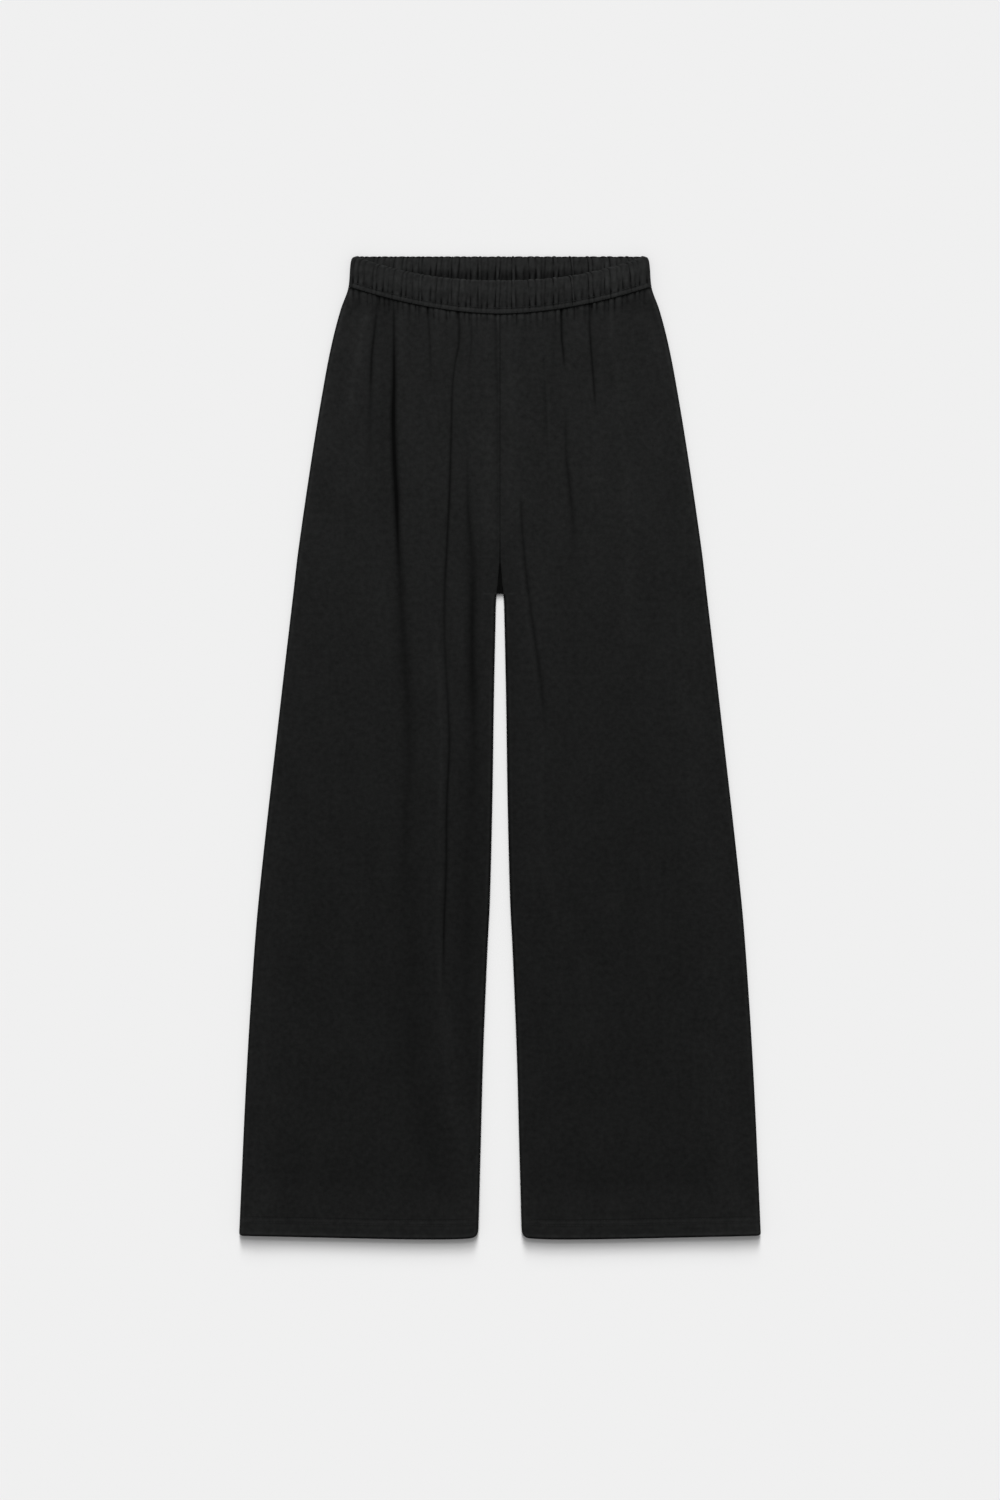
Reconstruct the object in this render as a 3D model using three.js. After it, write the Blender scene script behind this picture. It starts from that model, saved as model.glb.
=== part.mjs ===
// Joggers laid flat on their back: two fronts, two backs and a gathered elastic waistband.
// Millimetres. X runs across the garment, Y from the hems up to the waist, Z up from the floor.
// Sides are named for the wearer, so the left leg lies towards +X.
import * as THREE from 'three';

// Driving dimensions of the garment as it lies.
const garmentLength = 1059.6;
const clothThickness = 1.5;
const seamGap = 0.3;
const layerGap = 0.4;

// The waistband: a flat elastic inside a fold of cloth, gathered all along.
const bandThickness = 3.6;
const bandHollow = 1.2;
const bandSideHeight = 33.6;
const frontDip = { top: 26.2, seam: 62.7 };
const topBow = 2.3;
const seamBow = 1.8;
const bandGathers = 50;
const gatherHeight = 0.8;
const bandEdgeRadius = 1.3;

// The hem: the cloth turned up inside and held by two rows of stitching.
const hemAllowance = 20;
const hemThickness = 2.6;
const hemEdgeTuck = 0.8;
const hemBow = 4;
const hemBowLean = 0.42;
const hemBowLength = 200;
const hemRiseLength = 60;
const hemCornerRadius = { side: 4, inseam: 7 };
const hemCornerBlunt = 0.4;
const hemGroove = { height: 17.5, depth: 0.5 };

// Depths below the top of the waistband where the cut of the legs changes.
const crotchDepth = 364;
const wedgeDepth = 300;
const hemDepth = garmentLength - hemBow;

// Distance of the side edge from the centre line, at each depth below the top of the waistband.
const sideEdge = [
  { depth: 0, x: 155.5 },
  { depth: 2, x: 159.2 },
  { depth: 9, x: 161.2 },
  { depth: 34.5, x: 163.6 },
  { depth: 57, x: 171.6 },
  { depth: 89, x: 180.2 },
  { depth: 127, x: 188 },
  { depth: 208, x: 201.6 },
  { depth: 316, x: 217.4 },
  { depth: 364, x: 223 },
  { depth: 478, x: 236.3 },
  { depth: 694, x: 260.3 },
  { depth: 802, x: 268.6 },
  { depth: 910, x: 274.8 },
  { depth: 1057, x: 281.3 },
];

// Distance of the inseam edge from the centre line, below the crotch.
const inseamEdge = [
  { depth: 364, x: 3.6 },
  { depth: 372, x: 4.3 },
  { depth: 392, x: 4.8 },
  { depth: 478, x: 6.6 },
  { depth: 586, x: 8.2 },
  { depth: 694, x: 10.9 },
  { depth: 748, x: 13.6 },
  { depth: 856, x: 18 },
  { depth: 964, x: 20.9 },
  { depth: 1016, x: 22.3 },
  { depth: 1036, x: 22.8 },
  { depth: 1057, x: 23.6 },
];

// How far the fronts part from the centre line in the wedge above the crotch.
const frontWedge = [
  { depth: 300, x: 0 },
  { depth: 330, x: 0.3 },
  { depth: 345, x: 1.7 },
  { depth: 356, x: 2.5 },
  { depth: 364, x: 3.6 },
];

// Half the height of the garment at its side and inseam edges, where the cloth rolls over.
const edgeRoll = [
  { depth: 34.5, radius: 3.4 },
  { depth: 60, radius: 2.8 },
  { depth: 100, radius: 2.2 },
  { depth: 960, radius: 2.4 },
  { depth: 1036, radius: 3.6 },
  { depth: 1060, radius: 3.8 },
];

// The roll at the centre seam, how much wider it grows in the wedge than on the legs, and the
// width over which a skin rises from its edge, where it rolls over and where it is joined.
const seamRoll = { across: 0.5, fall: 0.4 };
const wedgeRoll = 1.6;
const edgeBlend = { rolled: 14, joined: 4 };
const centreSeamDip = 0.4;

// How high the slack of the fronts stands over the backs, before its creases.
const frontLoft = [
  { depth: 36, height: 0.8 },
  { depth: 61, height: 1.2 },
  { depth: 110, height: 2.5 },
  { depth: 200, height: 2.9 },
  { depth: 364, height: 2.5 },
  { depth: 560, height: 2 },
  { depth: 800, height: 1.5 },
  { depth: 1000, height: 1.2 },
  { depth: 1038, height: 1.2 },
  { depth: 1060, height: 2.1 },
];
const mostSlack = 3.3;

// The largest creases of the fronts. Each follows one of the panel's columns from one depth to
// another, through four places at equal steps. It cuts away a share of the loft between two ridges.
const creases = {
  right: [
    { column: 4, from: 60, to: 130, x: [32, 31, 30, 30], width: 4, spread: 1.4, cut: 0.5, ridge: 0.1 },
    { column: 4, from: 225, to: 900, x: [34, 30, 29, 26], width: 9, spread: 1.3, cut: 0.6, ridge: 0.2 },
    { column: 8, from: 58, to: 790, x: [45, 59, 57, 60], width: 5, spread: 1.2, cut: 0.6, ridge: 0.5 },
    { column: 11, from: 50, to: 150, x: [79, 77, 77, 78], width: 5, spread: 1.5, cut: 0.6, ridge: 0.2 },
    { column: 15, from: 44, to: 680, x: [116, 112, 104, 96], width: 6, spread: 2, cut: 0.95, ridge: 0.6 },
    { column: 19, from: 44, to: 230, x: [133, 138, 138, 136], width: 5, spread: 1.5, cut: 0.5, ridge: 0.2 },
  ],
  left: [
    { column: 4, from: 270, to: 660, x: [19, 36, 47, 49], width: 6, spread: 1.6, cut: 0.7, ridge: 0.5 },
    { column: 8, from: 100, to: 225, x: [44, 48, 50, 51], width: 5, spread: 1.3, cut: 0.45, ridge: 0.3 },
    { column: 11, from: 50, to: 140, x: [66, 67, 69, 70], width: 4, spread: 1.5, cut: 0.6, ridge: 0.2 },
    { column: 11, from: 165, to: 370, x: [71, 73, 78, 84], width: 7, spread: 1.4, cut: 0.6, ridge: 0.3 },
    { column: 15, from: 46, to: 180, x: [96, 98, 101, 104], width: 5, spread: 1.4, cut: 0.8, ridge: 0.3 },
    { column: 19, from: 95, to: 430, x: [127, 131, 141, 138], width: 9, spread: 1.3, cut: 0.3, ridge: 0.4 },
  ],
};
const creaseFades = { in: [-0.05, 0.06], out: [0.6, 1] };
const creasedColumns = 24;
const ridgePlace = 1.45;
const ridgeRoom = 0.4;

// Curves and blends used by every piece.
const mix = THREE.MathUtils.lerp;
const smooth = THREE.MathUtils.smoothstep;
const yAt = (depth) => garmentLength / 2 - depth;

function valueAt(table, column, depth) {
  const last = table.length - 1;
  if (depth <= table[0].depth) return table[0][column];
  if (depth >= table[last].depth) return table[last][column];
  const i = table.findIndex((row) => row.depth > depth) - 1;
  const slope = (k) => {
    const before = table[Math.max(k - 1, 0)];
    const after = table[Math.min(k + 1, last)];
    return (after[column] - before[column]) / (after.depth - before.depth);
  };
  const span = table[i + 1].depth - table[i].depth;
  const t = (depth - table[i].depth) / span;
  const bend0 = slope(i) * span;
  const bend1 = slope(i + 1) * span;
  const start = table[i][column];
  const end = table[i + 1][column];
  const cubic = 2 * (start - end) + bend0 + bend1;
  const square = 3 * (end - start) - 2 * bend0 - bend1;
  return ((cubic * t + square) * t + bend0) * t + start;
}

function placeAlong(places, t) {
  const table = places.map((x, i) => ({ depth: i / (places.length - 1), x }));
  return valueAt(table, 'x', t);
}

function evenSteps(from, to, spacing) {
  const count = Math.max(1, Math.round((to - from) / spacing));
  return Array.from({ length: count + 1 }, (_, i) => mix(from, to, i / count));
}

// A closed body between an upper and a lower skin. A skin is a list of rows from the waist down.
// A row is a list of points, each with its share of the row, so rows of unlike counts can join.
function closedSheet(upperRows, lowerRows, mirrored) {
  const positions = [];
  const indices = [];
  const keep = (row) => row.map(({ share, x, y, z }) => {
    positions.push(mirrored ? -x : x, y, z);
    return { index: positions.length / 3 - 1, share, y };
  });
  const triangle = (a, b, c) => indices.push(...(mirrored ? [a, c, b] : [a, b, c]));
  const join = (first, second) => {
    const alike = first.length === second.length;
    const reach = (row, k) => (alike ? k : row[k].share);
    let i = 0;
    let j = 0;
    while (i < first.length - 1 || j < second.length - 1) {
      const nextFirst = i < first.length - 1 ? reach(first, i + 1) : Infinity;
      const nextSecond = j < second.length - 1 ? reach(second, j + 1) : Infinity;
      if (nextFirst <= nextSecond) {
        triangle(first[i].index, second[j].index, first[i + 1].index);
        i += 1;
      } else {
        triangle(first[i].index, second[j].index, second[j + 1].index);
        j += 1;
      }
    }
  };
  const column = (rows, place) => rows.map((row) => {
    const { index, y } = row.at(place);
    return { index, share: -y };
  });
  const upper = upperRows.map(keep);
  const lower = lowerRows.map(keep);
  upper.slice(1).forEach((row, i) => join(upper[i], row));
  lower.slice(1).forEach((row, i) => join(row, lower[i]));
  join(lower[0], upper[0]);
  join(upper.at(-1), lower.at(-1));
  join(column(upper, 0), column(lower, 0));
  join(column(lower, -1), column(upper, -1));
  const geometry = new THREE.BufferGeometry();
  geometry.setAttribute('position', new THREE.Float32BufferAttribute(positions, 3));
  geometry.setIndex(indices);
  geometry.computeVertexNormals();
  return geometry;
}

// Gathers of the waistband: the places of their valleys as shares of its half width, unevenly
// spaced from one side fold (-1) to the other (1).
const valleys = Array.from({ length: bandGathers + 1 }, (_, k) => {
  const free = k > 0 && k < bandGathers && k !== bandGathers / 2;
  const wander = free ? 0.24 * Math.sin(2.4 * k + 1) + 0.12 * Math.sin(5.1 * k) : 0;
  return (2 * (k + wander)) / bandGathers - 1;
});
const gatherSize = (k) => 0.72 + 0.24 * Math.sin(1.9 * k + 0.6) + 0.18 * Math.sin(4.3 * k);
const gatherLean = (k) => 1.2 * Math.sin(0.7 * k) + 0.8 * Math.sin(2.9 * k + 2);
const gatherReach = (k) => 18 + 6 * Math.sin(3.7 * k) + 10 * Math.sin(1.3 * k + 1) ** 3;
const leanAt = (share, lean) => lean * (1 - share ** 8);

// One column in each valley and, on a gathered skin, two on the ridge beside it.
function gatherColumns(firstValley, lastValley, parts, mirrored) {
  const columns = [];
  const valley = (k) => (mirrored ? -valleys[bandGathers - k] : valleys[k]);
  for (let k = firstValley; k < lastValley; k += 1) {
    const seed = mirrored ? bandGathers - 1 - k : k;
    const step = valley(k + 1) - valley(k);
    parts.forEach((part) => {
      const share = valley(k) + part * step;
      const lean = mirrored ? -gatherLean(seed) : gatherLean(seed);
      columns.push({
        share,
        height: part ? gatherHeight * gatherSize(seed) : 0,
        lean: share === 0 ? 0 : leanAt(share, lean),
        reach: gatherReach(seed),
      });
    });
  }
  columns.push({ share: valley(lastValley), height: 0, lean: 0, reach: 1 });
  return columns;
}

const ridged = [0, 0.3, 0.7];
const unridged = [0];
const evenColumns = (from, to, spacing) => evenSteps(from, to, spacing)
  .map((share) => ({ share, height: 0, lean: 0, reach: 1 }));

// Angles at which a rolled edge is sampled, from its side (0) towards its top, and the shares of
// a row that they take past its end.
const rollAngles = [0, Math.PI / 6, Math.PI / 3];
const shareStep = 0.001;

// Fronts and waistband front lie on the backs and, near the top, on the waistband back.
const overBack = clothThickness + layerGap;
const overBand = bandThickness + bandHollow;
const bandRamp = { from: 28, to: 66 };
const frontUnderside = (depth) => mix(overBand, overBack, smooth(depth, bandRamp.from, bandRamp.to));

// The waistband. Each row runs from side fold to side fold, at one distance from the top edge.
const bandRadius = (overBand + bandThickness) / 2;
const bandCentreHeight = frontDip.seam - frontDip.top;
const stitchedHeight = 5;
const bandProfile = [
  { down: 0, gather: 0.5, relief: -bandEdgeRadius, tuck: bandEdgeRadius },
  { down: bandEdgeRadius, gather: 0.8, relief: 0, tuck: 0 },
  { down: 20, gather: 1, relief: 0, tuck: 0 },
  { down: bandCentreHeight - stitchedHeight - 1, gather: 0.5, relief: -0.35, tuck: 0 },
  { down: bandCentreHeight - stitchedHeight, gather: 0.3, relief: 0.2, tuck: 0 },
  { down: bandCentreHeight - 0.7, gather: 0.25, relief: 0.1, tuck: 0 },
  { down: bandCentreHeight, gather: 0.2, relief: -0.5, tuck: 0 },
];
const bandUndersideRows = [0, 1, 2, 6];

function bandDepth(isFront, share, part) {
  const clear = part === 1 ? seamGap / 2 : 0;
  if (!isFront) return part * bandSideHeight - clear;
  const top = frontDip.top * (1 - Math.abs(share) ** topBow);
  const seam = mix(frontDip.seam, bandSideHeight, Math.abs(share) ** seamBow);
  return mix(top, seam, part) - clear;
}

function bandRow(isFront, isUpper, profile, columns) {
  const part = profile.down / bandCentreHeight;
  const halfWidth = valueAt(sideEdge, 'x', part * bandSideHeight);
  const flat = halfWidth - bandRadius;
  const isOutside = isFront === isUpper;
  const rollRadius = isOutside ? bandRadius - profile.tuck : bandRadius - bandThickness + profile.tuck;
  const place = (share, x, z, up) => {
    const y = yAt(bandDepth(isFront, x / halfWidth, part)) + up;
    return { share, x, y, z };
  };
  const roll = (side) => rollAngles.map((angle, i) => {
    const rise = Math.max(rollRadius * Math.sin(angle), seamGap / 2);
    const z = isFront ? bandRadius + rise : bandRadius - rise;
    const share = side * (1 + shareStep * (rollAngles.length - i));
    return place(share, side * (flat + rollRadius * Math.cos(angle)), z, 0);
  });
  const body = columns.map(({ share, height, lean }) => {
    const x = share * flat + lean * (part - 0.5);
    const underside = isFront ? frontUnderside(bandDepth(true, x / halfWidth, part)) : 0;
    const thickness = bandThickness + profile.relief + profile.gather * height;
    const z = isUpper ? underside + thickness : underside + profile.tuck;
    return place(share, x, z, profile.tuck ? (height - gatherHeight) / 2 : 0);
  });
  return [...roll(-1), ...body, ...roll(1).reverse()];
}

function waistbandGeometry(isFront) {
  const gathered = gatherColumns(0, bandGathers, ridged, false);
  const plain = gatherColumns(0, bandGathers, unridged, false);
  const upper = bandProfile.map((profile) => bandRow(isFront, true, profile, gathered));
  const lower = bandUndersideRows.map((i) => bandRow(isFront, false, bandProfile[i], plain));
  return closedSheet(upper, lower, false);
}

// Height of the fronts' slack, creased, at a place on one leg.
function slackHeight(leg, x, depth) {
  let height = valueAt(frontLoft, 'height', depth);
  creases[leg].forEach((crease) => {
    const along = (depth - crease.from) / (crease.to - crease.from);
    const fade = smooth(along, ...creaseFades.in) * (1 - smooth(along, ...creaseFades.out));
    if (fade === 0) return;
    const width = crease.width * mix(1, crease.spread, THREE.MathUtils.clamp(along, 0, 1));
    const off = (x - placeAlong(crease.x, along)) / width;
    const beside = Math.exp(-((off - ridgePlace) ** 2)) + Math.exp(-((off + ridgePlace) ** 2));
    height *= 1 - crease.cut * fade * Math.exp(-off * off);
    height += crease.ridge * fade * beside;
  });
  return Math.min(height, mostSlack);
}

// Where a crease's column runs at a depth, also above, between and below its creases.
function creaseLine(line, depth) {
  const next = line.find((crease) => depth < crease.to) ?? line.at(-1);
  const before = line[line.indexOf(next) - 1];
  const inGap = before && depth < next.from;
  const along = (depth - next.from) / (next.to - next.from);
  const x = inGap
    ? mix(before.x.at(-1), next.x[0], smooth(depth, before.to, next.from))
    : placeAlong(next.x, along);
  const width = next.width * mix(1, next.spread, THREE.MathUtils.clamp(along, 0, 1));
  return { x, ridge: ridgePlace * width };
}

// Columns that keep to the creases: one in each valley, one on each ridge, the rest between them.
function columnsAlongCreases(leg, depth, from, to) {
  const numbers = [...new Set(creases[leg].map((crease) => crease.column))];
  const lines = numbers.map((column) => {
    const line = creases[leg].filter((crease) => crease.column === column);
    return { column, ...creaseLine(line, depth) };
  });
  const held = lines.flatMap(({ column, x, ridge }, i) => {
    const roomBefore = x - (i > 0 ? lines[i - 1].x : from);
    const roomAfter = (i + 1 < lines.length ? lines[i + 1].x : to) - x;
    const before = x - Math.min(ridge, ridgeRoom * roomBefore);
    const after = x + Math.min(ridge, ridgeRoom * roomAfter);
    return [[column - 1, before], [column, x], [column + 1, after]];
  });
  const stops = [[0, from], ...held, [creasedColumns, to]];
  return Array.from({ length: creasedColumns + 1 }, (_, column) => {
    const k = Math.max(1, stops.findIndex(([number]) => number >= column));
    const [[left, leftX], [right, rightX]] = [stops[k - 1], stops[k]];
    const x = mix(leftX, rightX, (column - left) / (right - left));
    return { share: (x - from) / (to - from), height: 0, lean: 0, reach: 1 };
  });
}

// The hem lifts the fronts by its extra thickness, and its stitching draws in a shallow groove.
const hemRise = 2 * (hemThickness - clothThickness);
const wallAt = (depth) => (depth > hemDepth - hemAllowance ? hemThickness : clothThickness);

function frontTop(leg, x, depth, rowDepth) {
  const lift = hemRise * smooth(rowDepth, hemDepth - hemRiseLength, hemDepth - hemAllowance);
  const groove = rowDepth === hemDepth - hemGroove.height ? hemGroove.depth : 0;
  return frontUnderside(depth) + clothThickness + slackHeight(leg, x, depth) + lift - groove;
}

// How one row of a leg panel is laid out: its two edges and how far the cloth rolls at each.
const seamDrop = frontDip.seam - bandSideHeight;
function cornerInset(up, radius) {
  const rise = up + hemCornerBlunt;
  return rise < radius ? radius - Math.sqrt(radius ** 2 - (radius - rise) ** 2) : 0;
}

function panelLayout(isFront, rowDepth) {
  const startDepth = isFront ? frontDip.seam : bandSideHeight;
  const drop = isFront ? seamDrop * (1 - smooth(rowDepth, startDepth, wedgeDepth)) : 0;
  const sideDepth = rowDepth - drop;
  const up = hemDepth - rowDepth;
  const squareSide = valueAt(sideEdge, 'x', sideDepth);
  const side = squareSide - cornerInset(up, hemCornerRadius.side);
  const sideRadius = valueAt(edgeRoll, 'radius', sideDepth);
  const legRadius = valueAt(edgeRoll, 'radius', rowDepth);
  const parted = rowDepth > crotchDepth;
  const squareInseam = parted
    ? valueAt(inseamEdge, 'x', rowDepth)
    : seamGap / 2 + (isFront ? valueAt(frontWedge, 'x', rowDepth) : 0);
  const inseam = squareInseam + (parted ? cornerInset(up, hemCornerRadius.inseam) : 0);
  const wedge = isFront ? smooth(rowDepth, wedgeDepth, crotchDepth) : 0;
  const rolled = parted ? 1 : wedge;
  const wedgeWidth = parted ? legRadius : wedgeRoll * legRadius;
  return {
    drop,
    side,
    sideRadius,
    inseam,
    squareSide,
    squareInseam,
    rolled,
    across: mix(seamRoll.across, wedgeWidth, rolled),
    fall: mix(seamRoll.fall, legRadius, rolled),
    topAtInseam: 2 * legRadius,
  };
}

// One row of one skin of a leg panel. The rolled edges are arcs, the body between them is laid.
// A row with no columns of its own keeps to the creases.
function panelRow(panel, isUpper, rowDepth, columns) {
  const { isFront, leg, firstDepth } = panel;
  const layout = panelLayout(isFront, rowDepth);
  const { drop, side, sideRadius, inseam, squareSide, squareInseam, rolled, across, fall } = layout;
  const wall = wallAt(rowDepth);
  const isOutside = isFront === isUpper;
  const towards = isFront ? 1 : -1;
  const bow = hemBow * smooth(rowDepth, hemDepth - hemBowLength, hemDepth);
  const depthAt = (x) => {
    const share = THREE.MathUtils.clamp((x - squareInseam) / (squareSide - squareInseam), 0, 1);
    return rowDepth - drop * (x / side) ** seamBow + bow * Math.sin(Math.PI * share ** hemBowLean);
  };
  const place = (share, x, z) => ({ share, x, y: yAt(depthAt(x)), z });
  const hemTuck = rowDepth === hemDepth ? hemEdgeTuck : 0;
  const inseamBlend = mix(edgeBlend.joined, edgeBlend.rolled, rolled);
  const skinTop = (x) => {
    const body = frontTop(leg, x, depthAt(x), rowDepth);
    const centre = frontTop(leg, inseam, depthAt(inseam), rowDepth) - centreSeamDip;
    const atInseam = mix(centre, layout.topAtInseam, rolled);
    const nearInseam = mix(atInseam, body, smooth(x - inseam - across, 0, inseamBlend));
    return mix(2 * sideRadius, nearInseam, smooth(side - sideRadius - x, 0, edgeBlend.rolled));
  };
  const roll = (x, outward, width, height, turned) => rollAngles.map((angle, i) => {
    const reference = isFront ? skinTop(x) : 0;
    const outerX = width * Math.cos(angle);
    const outerFall = height * (1 - Math.sin(angle));
    const innerX = mix(outerX, (width - wall) * Math.cos(angle), turned);
    const innerFall = mix(wall, height - (height - wall) * Math.sin(angle), turned);
    const clear = i === 0 ? (turned * seamGap) / 2 : 0;
    const z = reference - towards * ((isOutside ? outerFall : innerFall) - clear);
    const past = shareStep * (rollAngles.length - i);
    const share = outward > 0 ? 1 + past : -past;
    return place(share, x + outward * (isOutside ? outerX : innerX), z);
  });
  const from = inseam + across;
  const to = side - sideRadius;
  const places = columns ?? columnsAlongCreases(leg, rowDepth, from, to);
  const body = places.map(({ share, height, lean, reach }) => {
    const down = rowDepth - firstDepth;
    const gather = height * (1 - smooth(down, 0, reach));
    const x = mix(from, to, share) + lean / 2;
    if (isFront) {
      const z = isUpper ? skinTop(x) + gather - hemTuck : skinTop(x) - wall + hemTuck;
      return place(share, x, z);
    }
    return place(share, x, isUpper ? wall - hemTuck : hemTuck);
  });
  const inseamRoll = roll(from, -1, across, fall, rolled);
  const sideRoll = roll(to, 1, sideRadius, sideRadius, 1);
  return [...inseamRoll, ...body, ...sideRoll.reverse()];
}

// Rows of the leg panels, as depths below the top of the waistband.
const hemRows = [26, 20.6, 19.6, hemGroove.height, 14, 3.5, 1, 0].map((up) => hemDepth - up);
const crotchRows = [crotchDepth - 10, crotchDepth, crotchDepth + 3, crotchDepth + 12];

function frontGeometry(leg) {
  const firstDepth = frontDip.seam + seamGap / 2;
  const panel = { isFront: true, leg, firstDepth };
  const mirrored = leg === 'right';
  const gathered = gatherColumns(bandGathers / 2, bandGathers, ridged, mirrored);
  const ungathered = gatherColumns(bandGathers / 2, bandGathers, unridged, mirrored);
  const plain = evenColumns(0, 1, 1 / 12);
  const creasedRows = [
    ...evenSteps(firstDepth + 34, wedgeDepth, 29),
    wedgeDepth + 24,
    ...crotchRows,
    ...evenSteps(crotchDepth + 38, 560, 40),
    ...evenSteps(610, 760, 50),
  ];
  const plainRows = [...evenSteps(830, hemDepth - 70, 80), ...hemRows];
  const gatheredRows = [0, 3, 8, 15, 24].map((down) => firstDepth + down);
  const rows = (isUpper) => [
    ...gatheredRows.map((depth) => ({ depth, columns: isUpper ? gathered : ungathered })),
    ...creasedRows.map((depth) => ({ depth })),
    ...plainRows.map((depth) => ({ depth, columns: plain })),
  ].map(({ depth, columns }) => panelRow(panel, isUpper, depth, columns));
  return closedSheet(rows(true), rows(false), mirrored);
}

function backGeometry(leg) {
  const firstDepth = bandSideHeight + seamGap / 2;
  const panel = { isFront: false, leg, firstDepth };
  const columns = evenColumns(0, 1, 1 / 4);
  const depths = [
    firstDepth,
    ...evenSteps(60, 100, 20),
    ...evenSteps(140, crotchDepth - 40, 68),
    ...crotchRows,
    ...evenSteps(crotchDepth + 60, hemDepth - 80, 80),
    ...hemRows,
  ];
  const rows = (isUpper) => depths.map((depth) => panelRow(panel, isUpper, depth, columns));
  return closedSheet(rows(true), rows(false), leg === 'right');
}

// Soft black knit, with the waistband a shade apart so that its seam can be told.
const knit = new THREE.MeshStandardMaterial({ color: 0x1c1d1d, roughness: 0.95, metalness: 0 });
const casing = new THREE.MeshStandardMaterial({ color: 0x202121, roughness: 0.95, metalness: 0 });

function piece(name, geometry, material) {
  const mesh = new THREE.Mesh(geometry, material);
  mesh.name = name;
  return mesh;
}

const group = new THREE.Group();
group.add(piece('front_left', frontGeometry('left'), knit.clone()));
group.add(piece('front_right', frontGeometry('right'), knit.clone()));
group.add(piece('back_left', backGeometry('left'), knit.clone()));
group.add(piece('back_right', backGeometry('right'), knit.clone()));
group.add(piece('waistband_front', waistbandGeometry(true), casing.clone()));
group.add(piece('waistband_back', waistbandGeometry(false), casing.clone()));

export default group;
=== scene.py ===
# Joggers laid flat on their back on a pale floor: soft black jersey, gathered into an elastic waistband.
# Metres in Blender, millimetres in the tables. X runs across the garment, Y from the hems up to the
# waist and Z up. Sides are the wearer's own, so the left leg lies towards +X.
import math

import bmesh
import bpy
import numpy as np
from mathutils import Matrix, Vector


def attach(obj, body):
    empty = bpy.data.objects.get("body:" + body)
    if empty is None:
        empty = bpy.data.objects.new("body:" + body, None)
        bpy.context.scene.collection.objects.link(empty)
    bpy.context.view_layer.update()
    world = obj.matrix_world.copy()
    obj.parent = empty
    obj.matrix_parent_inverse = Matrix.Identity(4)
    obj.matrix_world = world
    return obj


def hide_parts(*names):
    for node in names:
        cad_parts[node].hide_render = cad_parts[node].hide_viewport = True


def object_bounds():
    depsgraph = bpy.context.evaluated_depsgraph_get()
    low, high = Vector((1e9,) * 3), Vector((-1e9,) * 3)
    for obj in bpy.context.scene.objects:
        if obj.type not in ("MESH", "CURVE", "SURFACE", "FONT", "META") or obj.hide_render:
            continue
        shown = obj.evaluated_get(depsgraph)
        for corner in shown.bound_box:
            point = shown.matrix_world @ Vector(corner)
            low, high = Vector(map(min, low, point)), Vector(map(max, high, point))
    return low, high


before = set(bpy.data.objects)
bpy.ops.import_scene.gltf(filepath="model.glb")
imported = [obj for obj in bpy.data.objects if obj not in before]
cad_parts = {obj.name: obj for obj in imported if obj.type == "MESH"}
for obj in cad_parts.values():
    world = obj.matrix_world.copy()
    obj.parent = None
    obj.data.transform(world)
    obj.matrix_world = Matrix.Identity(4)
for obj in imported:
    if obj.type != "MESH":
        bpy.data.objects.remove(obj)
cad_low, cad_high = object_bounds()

bpy.ops.object.select_all(action="DESELECT")

# --- Jersey --------------------------------------------------------------------------------------
# All six pieces are cut from one black cotton jersey, brushed to a short nap and washed soft. The nap
# mottles it. Painted light makes it paler towards the waist, and painted shade darkens the troughs of
# the folds and painted highlight lightens their ridges: that is each piece's painted shading, positive
# where it is darker.
jersey_colour = (0.0074, 0.0076, 0.0075)
painted_light_at_waist = 0.46
painted_light_starts = -0.25
painted_light_ends = 0.42
nap_size = 0.0056
wale_size = 0.0011
wale_length = 4.0
wale_mottle = 0.25
cloud_size = 0.03
cloud_length = 1.6
cloud_mottle = 0.4
nap_height = 0.7
wale_height = 0.5
relief_height = 0.0008
cloth_shine = 0.05
cloth_sheen = 0.02


class Wire:
    """A shader socket that maths can be written on."""

    def __init__(self, tree, socket):
        self.tree = tree
        self.socket = socket

    def node(self, kind, settings=None, sockets=None, output=0):
        made = self.tree.nodes.new(kind)
        for name, value in (settings or {}).items():
            setattr(made, name, value)
        for name, value in (sockets or {}).items():
            if isinstance(value, Wire):
                self.tree.links.new(value.socket, made.inputs[name])
            else:
                made.inputs[name].default_value = value
        return Wire(self.tree, made.outputs[output])

    def maths(self, operation, first, second):
        return self.node("ShaderNodeMath", {"operation": operation}, {0: first, 1: second})

    def __add__(self, other):
        return self.maths("ADD", self, other)

    def __sub__(self, other):
        return self.maths("SUBTRACT", self, other)

    def __rsub__(self, other):
        return self.maths("SUBTRACT", other, self)

    def __mul__(self, other):
        return self.maths("MULTIPLY", self, other)

    __radd__ = __add__
    __rmul__ = __mul__


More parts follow.
